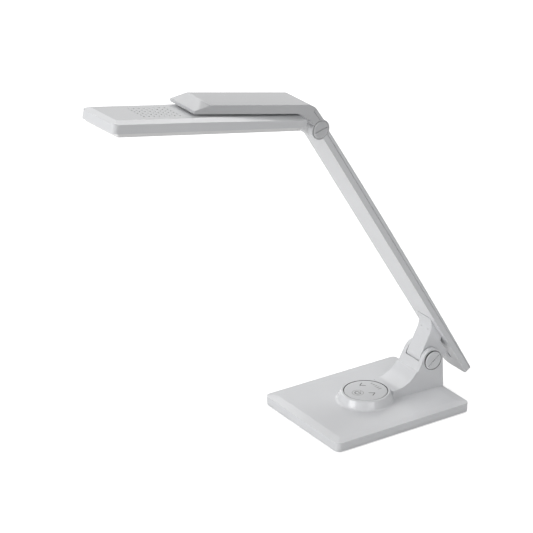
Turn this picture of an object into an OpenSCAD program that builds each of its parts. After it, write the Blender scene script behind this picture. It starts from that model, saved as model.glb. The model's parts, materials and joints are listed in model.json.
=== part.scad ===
// Folding desk lamp with an LED panel, a flat arm and a weighted base.
// Millimetres. The origin is the middle of the base on the table, +Z is up,
// the panel reaches toward -X and the arm stands at the +X edge of the base.

/* [Base] */
// Length of the base, front to rear
base_len = 180; // [150:1:220]
// Width of the base, side to side
base_wid = 142; // [120:1:170]
// Height of the flat top of the base above the table
base_h = 12.8; // [11.5:0.1:16]
// Radius of the upright corners of the base
base_corner_r = 6.5; // [3:0.5:15]
// Width of the shallow bevel that runs round the top of the base
bevel_w = 11; // [6:0.5:14]
// How far that bevel drops at the outer edge
bevel_drop = 0.8; // [0.4:0.1:1.6]
// Wall thickness of the base moulding
base_wall = 2.2; // [1.6:0.1:3]
// Thickness of the closing plate under the base
bottom_t = 2.8; // [2:0.1:4]
// Thickness of the non-slip sheet under the plate
pad_t = 0.8; // [0.5:0.1:2]
// Thickness of the steel ballast plate
ballast_t = 3.2; // [2:0.1:4]

/* [Touch pod] */
// Radius of the round pod at its top
pod_r = 28; // [26.8:0.1:30]
// Distance of the pod in front of the middle of the base
pod_set = 2; // [0:0.5:6]
// Height of the top of the pod above the table
pod_top = 22.8; // [20:0.1:26]
// Radius of the touch disc
disc_r = 24.3; // [20:0.1:24.8]
// Thickness of the touch disc
disc_t = 2.2; // [1.5:0.1:3]
// Width of the ring gap round the touch disc
disc_gap = 0.8; // [0.3:0.05:1]

/* [Lower hinge] */
// Distance of the lower hinge axis from the rear edge of the base
hinge_set = 13.5; // [13.5:0.5:20]
// Height of the lower hinge axis above the table
hinge_z = 46.5; // [42:0.5:60]
// Outer radius of the ears and of the knuckle between them
ear_r = 13.5; // [12:0.1:13.5]
// Width of the knuckle on the arm bracket
knuckle_w = 23.5; // [18:0.5:26]
// Width of the neck over both ears at the hinge
neck_w = 38.4; // [36:0.2:44]
// Radius of the hinge pin
pin_r = 4; // [3:0.1:5]
// Radius of the round caps over the ends of the pin
cap_r = 10.9; // [9:0.1:12]
// Lean of the arm from upright, toward the front
arm_lean = 31.7; // [15:0.1:60]

/* [Arm] */
// Distance between the two hinge axes, measured along the arm
arm_reach = 345.8; // [250:0.2:400]
// Width of the arm
arm_w = 42.5; // [38:0.5:50]
// How far the front face of the arm lies behind the lower hinge axis
arm_set = 25.6; // [24:0.1:30]
// Depth of the front shell of the arm
front_depth = 6.2; // [5:0.1:8]
// Depth of the rear shell where the arm is deepest
rear_depth = 4.5; // [4:0.1:6]
// Radius of the gentle bow along the back of the arm
bow_r = 11000; // [9000:100:20000]
// Wall thickness of both arm shells
arm_wall = 1.8; // [1.4:0.1:2.2]
// Length of the tail of the arm below the lower hinge
tail_len = 51.5; // [40:0.5:60]
// Width of the dark seam between two shells
seam = 0.5; // [0.3:0.1:0.8]
// Depth of that seam
seam_depth = 1; // [0.4:0.1:1.1]

/* [Upper hinge] */
// How far the upper hinge axis lies behind the front face of the arm
upper_set = 2.7; // [1:0.1:5]
// Outer radius of the ears at the top of the arm
upper_ear_r = 11; // [10:0.1:13]
// Width of the knuckle under the hood
upper_knuckle_w = 27; // [20:0.5:30]
// Radius of the upper hinge pin
upper_pin_r = 3; // [2.5:0.1:4]
// Radius of the round caps over the ends of the upper pin
upper_cap_r = 9.7; // [8:0.1:10.5]
// Tilt of the head, tip up
head_tilt = 11.3; // [0:0.1:30]

/* [Hood] */
// Width of the hood
hood_w = 46.4; // [44:0.2:56]
// Distance from the upper hinge axis to the tip edge of the hood
hood_reach = 162; // [140:1:190]
// Height of the top of the hood above the upper hinge axis
hood_top = 27.5; // [26:0.1:32]
// Height of the flat underside of the hood above the axis
hood_under = 18.1; // [17.6:0.1:20]
// Length of the sloping facet at the tip
hood_facet = 19.5; // [12:0.5:30]
// Wall thickness of the hood
hood_wall = 2; // [1.5:0.1:2.4]

/* [Lamp panel] */
// Distance from the upper hinge axis to the swivel axis
swivel_x = 78; // [60:1:100]
// Swivel angle of the lamp panel, seen from above
swivel_turn = 3.8; // [-20:0.1:20]
// Reach of the panel in front of the swivel axis
panel_front = 189.2; // [150:0.2:220]
// Reach of the panel behind the swivel axis
panel_rear = 54.6; // [45:0.2:55]
// Width of the panel
panel_w = 58; // [50:0.5:70]
// Height of the panel's lowest face above the upper hinge axis
panel_floor = 0.4; // [0:0.1:2]
// Height of the light rim below the side walls of the panel
rim_h = 3.4; // [2.5:0.1:4.5]
// Height of the side crease of the panel above the hinge axis
crease_h = 13.3; // [12:0.1:13.5]
// Height of the flat vented top above the hinge axis
top_h = 16.2; // [15.5:0.1:16.2]
// Width of the bevel round the top of the panel
panel_bevel = 6; // [4:0.2:8]
// Wall thickness of the panel housing
panel_wall = 1.8; // [1.4:0.1:2.2]
// Radius of one vent hole
vent_r = 1.1; // [0.6:0.1:1.4]
// Distance between vent holes along the panel
vent_pitch_x = 6.3; // [5:0.1:8]
// Distance between vent holes across the panel
vent_pitch_y = 5.35; // [5:0.05:6]

/* [Part to show] */
// Sub-part to draw on its own, or "all"

/* [Hidden] */
$fn = 96;
fit = 0.05;          // radial clearance of a pin in its bore
gap = 0.3;           // clearance between faces that pass each other
cut = 1;             // overshoot of a cutting body
white = [0.93, 0.93, 0.92];
steel = [0.62, 0.63, 0.65];
board_green = [0.12, 0.33, 0.22];
milky = [0.97, 0.97, 0.95];
dark = [0.15, 0.15, 0.16];

hinge_x = base_len / 2 - hinge_set;       // lower hinge axis
bottom_z = pad_t;                       // underside of the closing plate
seam_z = pad_t + bottom_t;              // height of the seam round the base
cover_z = seam_z + gap;                 // lower edge of the moulding
roof_z = base_h - bevel_drop - base_wall;  // inside of the base roof
screw_x = base_len / 2 - 13;
screw_y = base_wid / 2 - 13;
boss_r = 3.6;
screw_r = 1.2;                          // thread of the small screws
thread_fit = 0.05;
head_r = 2.6;
ledge_z = pod_top - disc_t;             // ledge that the touch disc rests on
ledge_t = 2;
ledge_r = disc_r - 2.5;
pod_foot = 3;                           // radius of the hollow round the foot of the pod
pod_flare = 3;                          // how much wider the pod is there
pod_in_r = pod_r - 1;
board_t = 1.6;
icon_r = 10.5;                          // distance of each key from the middle

neck_rear = base_len / 2;
neck_r = 31;                            // hollow curve at the foot of the neck
neck_start = hinge_x - 48.8;            // where that curve lies lowest
neck_dip = 0.3;                         // how far it starts below the pod top
face_lean = 27;                         // lean of the flat neck face from upright
neck_draft = 3.4;                       // draft of the sides of the neck
neck_flare = 2.6;                       // flare of the sides toward the rear
slot_r = ear_r + 1.4;                   // floor of the slot for the knuckle
slot_w = knuckle_w + 1.8;
cap_t = 2.4;
ear_face = neck_w / 2;                  // outer face of an ear at the hinge
cap_seat = ear_face - 1;                // floor of the cap recess

arm_top = arm_reach;
front_x = arm_set;                      // front face of the arm
split_x = arm_set + front_depth;        // seam between the arm shells
back_x = split_x + rear_depth;          // deepest point of the arm's back
bow_z = 205;                            // where along the arm it is deepest
axis2_x = arm_set + upper_set;          // upper hinge axis in the arm's frame
web_gap = 3.3;                          // wedge gap between bracket and tail
upper_slot_w = upper_knuckle_w + 0.8;
upper_seat = arm_w / 2 - 1;
knuckle2_r = upper_ear_r - 0.3;

neck2_off = 8.3;                        // rear face of the hood's neck off the axis
neck2_t = 12.3;                         // thickness of that neck
rear_cover_t = 3.6;
hood_seam_depth = 1;
cover_t = 1.8;                          // hood underside plate
post_r = 6;
post_hole_r = 3.6;
plateau_x = -95;                        // front end of the raised part of the top
plateau_rise = 0.3;
ramp_len = 4.5;
ramp_x = plateau_x + ramp_len;
rear_drop = 0.6;                        // slope of the panel's rear half, degrees
rear_bevel_drop = 3.4;                  // fall of the bevel round that half
panel_front_r = 6;                      // corner radii of the panel
panel_rear_r = 1.5;
frame_in = 0.8;                         // light rim set in from the walls
frame_front = 5.6;
frame_rear = 6.2;
frame_chamfer = 2.4;                    // slope under the edge of the light rim
led_z = 9;                              // underside of the LED board
led_len = 212;
led_wid = 43.4;
led_mid = -67;
inlet_y = base_wid / 2 - 27;            // power inlet in the rear wall
inlet_z = 7.6;
inlet_w = 8.9;
inlet_h = 3.2;
inlet_len = 7.4;
bracket_screw_z = [15, 26];             // along the arm from the lower hinge
bracket_screw_r = 1.5;
arm_inner_x = arm_set + arm_wall;       // inner face of the front shell
bar_t = 2;
arm_screw_z = [-8, 120, arm_reach - 45.8];
arm_screw_bite = 1.2;
loom_r = 1.5;
cover_x0 = -hood_reach + hood_facet + gap;
cover_x1 = -34 - gap;
hood_screw_x = [-132, -44];
plateau_h = top_h + plateau_rise;
swivel_boss_h = plateau_h + 0.2;        // flat boss that the washer turns on
swivel_boss_r = 15;
front_roof = top_h - panel_wall;        // ceilings inside the panel housing
rear_roof = plateau_h - panel_wall - 2.1;
edge_roof = crease_h - panel_wall - 1.6;
board_z = led_z + board_t;
post_front = led_mid - led_len / 2 + 3;
post_rear = led_mid + led_len / 2 - 17;
post_mid = (post_front + post_rear) / 2 + 10;
board_posts = [for (p = [[post_front, 16], [post_mid, 18], [post_rear, 16]], s = [1, -1])
  [p[0], s * p[1]]];
chip_pitch = (led_len - 25) / 11;

// A flat plate with round corners, in the XY plane
module rounded_plate(l, w, r) {
  union() {
    square([l - 2 * r, w], center = true);
    square([l, w - 2 * r], center = true);
    for (x = [-1, 1], y = [-1, 1])
      translate([x * (l / 2 - r), y * (w / 2 - r)]) circle(r);
  }
}

// The same between two ends that lie unequally far from the origin
module plate_between(x0, x1, w, r) {
  translate([(x0 + x1) / 2, 0]) rounded_plate(x1 - x0, w, r);
}

// A side profile in X and Z, made w wide across Y
module across(w) {
  rotate([90, 0, 0]) linear_extrude(height = w, center = true) children();
}

// A cylinder on a hinge axis, from y0 to y1
module on_axis(r, y0, y1) {
  translate([0, y1, 0]) rotate([90, 0, 0]) cylinder(h = y1 - y0, r = r);
}

// The same cylinder on both sides of the lamp
module both_sides(r, y0, y1) {
  on_axis(r, y0, y1);
  on_axis(r, -y1, -y0);
}

// Places its children in the frame of the lower hinge
module at_hinge() {
  translate([hinge_x, 0, hinge_z]) children();
}

// Places its children in the arm's frame: Z runs up the arm, X out of its back
module in_arm() {
  at_hinge() rotate([0, -arm_lean, 0]) children();
}

// Places its children in the head's frame, on the upper hinge axis
module in_head() {
  in_arm() translate([axis2_x, 0, arm_reach]) rotate([0, arm_lean + head_tilt, 0]) children();
}

// Places its children in the panel's frame, on the swivel axis
module in_panel() {
  in_head() translate([-swivel_x, 0, 0]) rotate([0, 0, swivel_turn]) children();
}

// Places its children on the axis of the touch pod
module at_pod() {
  translate([-pod_set, 0, 0]) children();
}

module for_screws() {
  for (x = [-1, 1], y = [-1, 1]) translate([x * screw_x, y * screw_y, 0]) children();
}

module base_pad() {
  color(dark) linear_extrude(height = pad_t)
    rounded_plate(base_len - 12, base_wid - 12, base_corner_r);
}

module base_bottom() {
  color(white) difference() {
    union() {
      translate([0, 0, bottom_z + 0.6]) linear_extrude(height = bottom_t - 0.6)
        rounded_plate(base_len - 0.4, base_wid - 0.4, base_corner_r);
      translate([0, 0, bottom_z]) linear_extrude(height = 0.6 + cut)
        rounded_plate(base_len - 2, base_wid - 2, base_corner_r - 0.8);
      translate([0, 0, seam_z - cut]) linear_extrude(height = gap + cut)
        rounded_plate(base_len - 2, base_wid - 2, base_corner_r - 0.8);
    }
    for_screws() {
      translate([0, 0, bottom_z - cut]) cylinder(h = bottom_t + 2 * cut, r = screw_r + gap);
      translate([0, 0, bottom_z - cut]) cylinder(h = 1.6 + cut, r = head_r + gap);
    }
  }
}

// Side outline of the neck with its ears, from the pod back to the rear of the base
module neck_profile() {
  foot_z = pod_top - neck_dip + neck_r;
  curve_end = 56;
  step_x = hinge_x - ear_r * cos(face_lean) - 15.3 * tan(face_lean);
  step_z = hinge_z + ear_r * sin(face_lean) - 15.3;
  polygon(concat(
    [[neck_start - 5, base_h - base_wall], [neck_start - 5, pod_top - neck_dip]],
    [for (a = [0 : 2 : curve_end])
      [neck_start + neck_r * sin(a), foot_z - neck_r * cos(a)]],
    [[step_x, step_z],
     [hinge_x - ear_r * cos(face_lean), hinge_z + ear_r * sin(face_lean)],
     [hinge_x, hinge_z],
     [neck_rear, hinge_z],
     [neck_rear, base_h - base_wall]]));
  translate([hinge_x, hinge_z]) circle(ear_r);
}

// One big slab that trims a side of the neck to its draft and flare
module neck_side_cut(side) {
  foot_half = 18.8;
  translate([neck_start - 2.7, side * foot_half, base_h])
    rotate([side * neck_draft, 0, side * neck_flare])
      translate([-100, side > 0 ? 0 : -60, -60]) cube([260, 60, 160]);
}

module neck_body() {
  difference() {
    across(60) neck_profile();
    neck_side_cut(1);
    neck_side_cut(-1);
  }
}

// Round pod with a hollow round its foot and a softened shoulder
module pod_body() {
  foot_r = pod_r + pod_flare;
  shoulder = 0.8;
  at_pod() rotate_extrude() difference() {
    polygon([[0, base_h - base_wall], [foot_r + pod_foot, base_h - base_wall],
      [foot_r + pod_foot, base_h], [foot_r, base_h + pod_foot],
      [pod_r + 0.4, pod_top - shoulder], [pod_r - shoulder, pod_top], [0, pod_top]]);
    translate([foot_r + pod_foot, base_h + pod_foot]) circle(pod_foot);
  }
}

module bevel_cuts() {
  slope = atan(bevel_drop / bevel_w);
  size = 2 * base_len;
  for (side = [-1, 1]) {
    translate([side * (base_len / 2 - bevel_w), 0, base_h]) rotate([0, side * slope, 0])
      translate([side > 0 ? 0 : -40, -size / 2, 0]) cube([40, size, 12]);
    translate([0, side * (base_wid / 2 - bevel_w), base_h]) rotate([-side * slope, 0, 0])
      translate([-size / 2, side > 0 ? 0 : -40, 0]) cube([size, 40, 12]);
  }
}

module base_cover() {
  color(white) difference() {
    union() {
      difference() {
        translate([0, 0, cover_z]) linear_extrude(height = base_h - cover_z)
          rounded_plate(base_len, base_wid, base_corner_r);
        bevel_cuts();
      }
      pod_body();
      neck_body();
    }
    difference() {
      translate([0, 0, cover_z - cut]) linear_extrude(height = roof_z - cover_z + cut)
        rounded_plate(base_len - 2 * base_wall, base_wid - 2 * base_wall,
          base_corner_r - base_wall);
      for_screws() cylinder(h = base_h, r = boss_r);
    }
    at_pod() {
      translate([0, 0, roof_z - cut]) cylinder(h = ledge_z - ledge_t - roof_z + cut, r = pod_in_r);
      translate([0, 0, roof_z]) cylinder(h = pod_top, r = ledge_r);
      translate([0, 0, ledge_z]) cylinder(h = disc_t + cut, r = disc_r + disc_gap);
    }
    neck_hollow();
    for_screws() translate([0, 0, cover_z - cut]) cylinder(h = 6.4, r = screw_r + thread_fit);
    at_hinge() {
      on_axis(slot_r, -slot_w / 2, slot_w / 2);
      translate([0, -slot_w / 2, -slot_r]) cube([60, slot_w, 60]);
      on_axis(pin_r + fit, -40, 40);
      both_sides(cap_r + gap, cap_seat, 40);
    }
    translate([neck_rear - 8, inlet_y, inlet_z])
      across_x(inlet_w + 2 * gap, inlet_h + 2 * gap, 8 + cut);
  }
}

// Room inside the neck, open to the base below
module neck_hollow() {
  side = neck_w - 12;
  x = neck_start + 18.3;
  translate([x, -side / 2, cover_z]) cube([neck_rear - 3 - x, side, 18.5 - cover_z]);
}

// A flat slot shape with round ends, run along X from the origin
module across_x(w, h, l) {
  rotate([90, 0, 90]) linear_extrude(height = l) union() {
    square([w - h, h], center = true);
    for (s = [-1, 1]) translate([s * (w - h) / 2, 0]) circle(h / 2);
  }
}

module base_screws() {
  color(steel) for_screws() {
    translate([0, 0, bottom_z + 0.2]) cylinder(h = 1.4, r = head_r);
    translate([0, 0, bottom_z + 1.5]) cylinder(h = 6, r = screw_r);
  }
}

module ballast_plate() {
  front = -base_len / 2 + 20;
  rear = base_len / 2 - 30;
  color(steel) translate([(front + rear) / 2, 0, seam_z + gap])
    linear_extrude(height = ballast_t) rounded_plate(rear - front, base_wid - 40, 4);
}

module inlet_board() {
  color(board_green) translate([neck_rear - base_wall - 16, inlet_y - 8, seam_z + gap])
    cube([15.6, 16, inlet_z - inlet_h / 2 - seam_z - gap]);
}

module usb_inlet() {
  shell = 0.35;
  color(steel) translate([neck_rear - 0.4 - inlet_len, inlet_y, inlet_z]) union() {
    difference() {
      across_x(inlet_w, inlet_h, inlet_len);
      translate([1.2, 0, 0]) across_x(inlet_w - 2 * shell, inlet_h - 2 * shell, inlet_len);
    }
    translate([0.5, -3.3, -0.35]) cube([5.8, 6.6, 0.7]);
  }
}

module control_board() {
  color(board_green) at_pod() translate([0, 0, ledge_z - ledge_t - board_t])
    cylinder(h = board_t, r = pod_in_r - gap);
}

// One spring under each of the three touch keys
module touch_springs() {
  color(steel) at_pod() for (a = [180, 77, -77])
    rotate([0, 0, a]) translate([icon_r, 0, ledge_z - ledge_t])
      cylinder(h = ledge_t, r = 2.2);
}

module touch_disc() {
  edge = 0.4;
  color(white) at_pod() translate([0, 0, ledge_z]) rotate_extrude()
    polygon([[0, 0], [disc_r, 0], [disc_r, disc_t - edge], [disc_r - edge, disc_t],
      [0, disc_t]]);
}

module lower_pin() {
  color(steel) at_hinge() on_axis(pin_r, -cap_seat, cap_seat);
}

module lower_washers() {
  color(dark) at_hinge() for (s = [-1, 1])
    translate([0, s * (knuckle_w / 2 + 0.45), 0]) difference() {
      on_axis(9, -0.45, 0.45);
      on_axis(pin_r + gap, -cut, cut);
    }
}

// A round cap with a bevelled rim and a coin slot across its face
module slotted_cap(r, t, rim, turn) {
  drop = 0.9;
  long = r - rim - 0.4;
  difference() {
    rotate([90, 0, 0]) rotate_extrude()
      polygon([[0, 0], [r, 0], [r, t - drop], [r - rim, t], [0, t]]);
    rotate([0, turn, 0]) translate([-long, -t - cut, -0.7]) cube([2 * long, 1.1 + cut, 1.4]);
  }
}

module lower_caps() {
  color(white) at_hinge() {
    translate([0, -cap_seat, 0]) slotted_cap(cap_r, cap_t, 1.1, -38);
    mirror([0, 1, 0]) translate([0, -cap_seat, 0]) slotted_cap(cap_r, cap_t, 1.1, -38);
  }
}

// Side outline of the bracket behind its hub: curved front and square lower web
module bracket_profile() {
  rise = 90 - arm_lean - face_lean;
  sweep_r = 20;
  hub = ear_r - 0.1;
  corner_z = (hub + arm_set * sin(rise)) / cos(rise);
  reach = sweep_r * tan((90 - rise) / 2);
  top_z = corner_z + reach;
  polygon(concat(
    [[-hub * sin(rise), hub * cos(rise)]],
    [for (a = [0 : (90 - rise) / 24 : 90 - rise])
      [arm_set - sweep_r + sweep_r * sin(rise + a), top_z - sweep_r * cos(rise + a)]],
    [[arm_set, top_z], [arm_set, 10], [arm_set - web_gap, 6.5],
     [arm_set - web_gap, -hub], [0, -hub]]));
}

module arm_bracket() {
  color(white) in_arm() difference() {
    union() {
      across(knuckle_w) bracket_profile();
      on_axis(ear_r, -knuckle_w / 2, knuckle_w / 2);
    }
    on_axis(pin_r + fit, -40, 40);
    for (z = bracket_screw_z, y = [-1, 1])
      translate([arm_set - 7, y * 6, z]) rotate([0, 90, 0])
        cylinder(h = 7 + cut, r = bracket_screw_r + thread_fit);
  }
}

module bracket_screws() {
  color(steel) in_arm() for (z = bracket_screw_z, y = [-1, 1])
    translate([arm_set - 6, y * 6, z]) rotate([0, 90, 0]) {
      cylinder(h = 6 + arm_wall + bar_t + 0.1, r = bracket_screw_r);
      translate([0, 0, 6 + arm_wall + bar_t]) cylinder(h = 1.6, r = 3);
    }
}

// Front view of the arm, square at the top and with round corners at the tail
module arm_plan(inset) {
  r = 8 - inset;
  w = arm_w - 2 * inset;
  tail = -tail_len + inset;
  union() {
    translate([-w / 2, tail + r]) square([w, arm_top - tail - r]);
    translate([-w / 2 + r, tail]) square([w - 2 * r, r + cut]);
    for (s = [-1, 1]) translate([s * (w / 2 - r), tail + r]) circle(r);
  }
}

// The arm's plan made solid from x0 to x1 in the arm's frame
module arm_slab(x0, x1, inset) {
  translate([x0, 0, 0]) rotate([90, 0, 90]) linear_extrude(height = x1 - x0) arm_plan(inset);
}

module arm_front_shell() {
  color(white) in_arm() difference() {
    union() {
      arm_slab(front_x, split_x, 0);
      translate([axis2_x, 0, arm_reach]) on_axis(upper_ear_r, -arm_w / 2, arm_w / 2);
    }
    difference() {
      arm_slab(arm_inner_x, split_x + cut, arm_wall);
      translate([axis2_x, 0, arm_reach])
        on_axis(upper_ear_r + arm_wall + 1.5, -arm_w / 2 - cut, arm_w / 2 + cut);
    }
    upper_cuts(upper_ear_r + 0.4);
    for (z = bracket_screw_z, y = [-1, 1])
      translate([front_x - cut, y * 6, z]) rotate([0, 90, 0])
        cylinder(h = 5, r = bracket_screw_r + gap);
    for (z = arm_screw_z)
      translate([arm_inner_x - arm_screw_bite, 0, z]) rotate([0, 90, 0])
        cylinder(h = arm_screw_bite + cut, r = screw_r + thread_fit);
    tail_recess();
  }
}

// Slot for the hood's knuckle, pin bore and cap seats at the top of the arm
module upper_cuts(floor_r) {
  half = upper_slot_w / 2;
  translate([axis2_x, 0, arm_reach]) {
    on_axis(floor_r, -half, half);
    translate([-30, -half, 0]) cube([60, upper_slot_w, 40]);
    on_axis(upper_pin_r + fit, -40, 40);
    both_sides(upper_cap_r + gap, upper_seat, 40);
  }
}

// Small oval pocket on the front of the tail
module tail_recess() {
  pocket_z = -26;
  translate([front_x - cut, -2, pocket_z]) rotate([0, 90, 0]) linear_extrude(height = cut + 1)
    union() {
      square([7, 4], center = true);
      for (s = [-1, 1]) translate([s * 3.5, 0]) circle(2);
    }
}

// Side outline under the bowed back of the arm, drawn inset by a wall
module bow_profile(inset) {
  steps = 8;
  polygon(concat([[front_x, arm_top + 20], [front_x, -tail_len - 10]],
    [for (i = [0 : steps])
      let (z = -tail_len - 10 + i * (arm_top + tail_len + 30) / steps)
      [back_x - inset - pow(z - bow_z, 2) / (2 * bow_r), z]]));
}

module arm_rear_shell() {
  color(white) in_arm() difference() {
    intersection() {
      union() {
        arm_slab(split_x + seam, back_x + cut, 0);
        arm_slab(split_x, split_x + seam + cut, seam_depth);
      }
      across(arm_w + 2 * cut) bow_profile(0);
    }
    intersection() {
      arm_slab(split_x - cut, back_x + cut, arm_wall);
      across(arm_w) bow_profile(arm_wall);
    }
    translate([axis2_x, 0, arm_reach]) on_axis(upper_ear_r + gap, -40, 40);
    translate([0, -40, arm_reach]) cube([60, 80, 40]);
  }
}

module arm_bar() {
  lower = -36;
  upper = arm_reach - 24;
  color(steel) in_arm() difference() {
    translate([arm_inner_x, -11, lower]) cube([bar_t, 22, upper - lower]);
    for (z = bracket_screw_z, y = [-1, 1])
      translate([arm_inner_x - cut, y * 6, z]) rotate([0, 90, 0])
        cylinder(h = 5, r = bracket_screw_r + gap);
    for (z = arm_screw_z)
      translate([arm_inner_x - cut, 0, z]) rotate([0, 90, 0]) cylinder(h = 5, r = screw_r + gap);
  }
}

module arm_screws() {
  color(steel) in_arm() for (z = arm_screw_z)
    translate([arm_inner_x - arm_screw_bite, 0, z]) rotate([0, 90, 0]) {
      cylinder(h = arm_screw_bite + bar_t + 0.1, r = screw_r);
      translate([0, 0, arm_screw_bite + bar_t]) cylinder(h = 1.5, r = head_r);
    }
}

module arm_loom() {
  color(dark) in_arm() translate([arm_inner_x + loom_r + gap, 14.5, -20])
    cylinder(h = arm_reach - 10, r = loom_r);
}

module upper_pin() {
  color(steel) in_head() on_axis(upper_pin_r, -upper_seat, upper_seat);
}

module upper_washers() {
  color(dark) in_head() for (s = [-1, 1])
    translate([0, s * (upper_knuckle_w / 2 + 0.2), 0]) difference() {
      on_axis(7.5, -0.2, 0.2);
      on_axis(upper_pin_r + gap, -cut, cut);
    }
}

module upper_caps() {
  color(white) in_head() {
    translate([0, -upper_seat, 0]) slotted_cap(upper_cap_r, 1.9, 1.7, -26);
    mirror([0, 1, 0]) translate([0, -upper_seat, 0]) slotted_cap(upper_cap_r, 1.9, 1.7, -26);
  }
}

// Side outline of the hood and its neck
module hood_profile() {
  lip = 3.2;
  d = neck2_off * sqrt(2);
  b = (neck2_off - neck2_t) * sqrt(2);
  bend = 4;
  polygon([
    [-hood_reach, hood_under + lip], [-hood_reach + hood_facet, hood_top],
    [d - hood_top - bend, hood_top], [d - hood_top + bend * 0.7, hood_top - bend * 0.7],
    [d - 11, 11], [2, 2], [-6, b + 6],
    [-16, b + 16], [-23, hood_under - 4.6], [-34, hood_under],
    [-hood_reach + 0.6, hood_under]]);
}

module hood_body() {
  difference() {
    across(hood_w) hood_profile();
    difference() {
      on_axis(upper_ear_r + 0.5, -40, 40);
      on_axis(upper_ear_r + 2, -upper_knuckle_w / 2, upper_knuckle_w / 2);
    }
  }
  on_axis(knuckle2_r, -upper_knuckle_w / 2, upper_knuckle_w / 2);
}

// The strip of the neck that belongs to the rear cover: t deep, w wide
module rear_strip(t, w, inset) {
  low = 11.6;
  high = 25.1;
  rotate([0, -45, 0]) translate([neck2_off - t, -w / 2, low + inset])
    cube([t + cut, w, high - low - 2 * inset]);
}

// Room that the rear corners of the panel need when it swings under the neck
module swing_relief() {
  corner = panel_rear_r;
  reach = norm([panel_rear - corner, panel_w / 2 - corner]) + corner + gap;
  drop = (panel_rear - ramp_x) * sin(rear_drop);
  top = plateau_h - drop + 2 * gap;
  translate([-swivel_x, 0, 0]) rotate_extrude()
    polygon([[0, 0], [reach, 0], [reach, top - rear_bevel_drop],
      [reach - panel_bevel, top], [0, top]]);
}

module hood_shell() {
  roof = hood_top - hood_wall;
  color(white) in_head() difference() {
    hood_body();
    difference() {
      translate([-hood_reach + hood_facet, -hood_w / 2 + hood_wall, hood_under - cut])
        cube([hood_reach - hood_facet - 34, hood_w - 2 * hood_wall, roof - hood_under + cut]);
      for (x = hood_screw_x)
        translate([x, 0, hood_under + cover_t]) cylinder(h = 20, r = boss_r);
    }
    for (x = hood_screw_x)
      translate([x, 0, hood_under]) cylinder(h = roof - hood_under - 0.5, r = screw_r + thread_fit);
    swing_relief();
    rear_strip(rear_cover_t + seam, hood_w + 2 * cut, 0);
    rear_strip(rear_cover_t + 2 * seam, hood_w - 2 * hood_seam_depth, hood_seam_depth);
    on_axis(upper_pin_r + fit, -40, 40);
  }
}

module hood_rear_cover() {
  color(white) in_head() intersection() {
    union() {
      rear_strip(rear_cover_t, hood_w, 0);
      rear_strip(rear_cover_t + 2 * seam, hood_w - 2 * hood_seam_depth - 0.2,
        hood_seam_depth + 0.1);
    }
    across(hood_w) hood_profile();
  }
}

module hood_cover() {
  w = hood_w - 2 * hood_wall - 2 * gap;
  color(white) in_head() difference() {
    translate([cover_x0, -w / 2, hood_under]) cube([cover_x1 - cover_x0, w, cover_t]);
    translate([-swivel_x, 0, 0]) cylinder(h = 60, r = post_r + fit);
    for (x = hood_screw_x) translate([x, 0, hood_under - cut]) {
      cylinder(h = cover_t + 2 * cut, r = screw_r + gap);
      cylinder(h = 0.9 + cut, r = head_r + gap);
    }
  }
}

module hood_screws() {
  color(steel) in_head() for (x = hood_screw_x) translate([x, 0, hood_under]) {
    cylinder(h = 0.9, r = head_r);
    cylinder(h = 6, r = screw_r);
  }
}

module swivel_washer() {
  color(dark) in_panel() difference() {
    translate([0, 0, swivel_boss_h]) cylinder(h = hood_under - swivel_boss_h, r = 14);
    cylinder(h = 60, r = post_r + gap);
  }
}

module swivel_clip() {
  color(steel) in_panel() difference() {
    translate([0, 0, hood_under + cover_t]) cylinder(h = 1.2, r = 9);
    cylinder(h = 60, r = post_r - 0.6);
  }
}

module swivel_post() {
  groove = 0.7;
  flange_t = 1.5;
  color(steel) in_panel() difference() {
    union() {
      translate([0, 0, rear_roof - flange_t])
        cylinder(h = hood_top - hood_wall - 1.4 - rear_roof + flange_t, r = post_r);
      translate([0, 0, rear_roof - flange_t]) cylinder(h = flange_t, r = 9);
    }
    cylinder(h = 60, r = post_hole_r);
    translate([0, 0, hood_under + cover_t - 0.05]) difference() {
      cylinder(h = 1.3, r = post_r + cut);
      translate([0, 0, -cut]) cylinder(h = 5, r = post_r - groove);
    }
  }
}

// One length of the panel top, sloping down by drop degrees from height h at x0
module top_cut(x0, x1, h, drop) {
  translate([x0, -60, h]) rotate([0, drop, 0]) cube([x1 - x0, 120, 20]);
}

// The bevels along both sides of that length, falling by fall over their width
module side_bevel_cut(x0, x1, h, drop, fall) {
  translate([x0, 0, h]) rotate([0, drop, 0]) for (s = [-1, 1])
    translate([0, s * (panel_w / 2 - panel_bevel), 0])
      rotate([-s * atan(fall / panel_bevel), 0, 0])
        translate([0, s > 0 ? 0 : -40, 0]) cube([x1 - x0, 40, 20]);
}

module end_bevel_cut(x, side, h, fall) {
  translate([x - side * panel_bevel, 0, h]) rotate([0, side * atan(fall / panel_bevel), 0])
    translate([side > 0 ? 0 : -40, -60, 0]) cube([40, 120, 20]);
}

// Outline of the panel from above, inset by some amount
module panel_plan(inset) {
  front_r = panel_front_r - inset;
  rear_r = max(panel_rear_r - inset, 0.5);
  w = panel_w - 2 * inset;
  union() {
    plate_between(-panel_front + inset, 0, w, front_r);
    plate_between(-panel_front + 2 * panel_front_r, panel_rear - inset, w, rear_r);
  }
}

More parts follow.
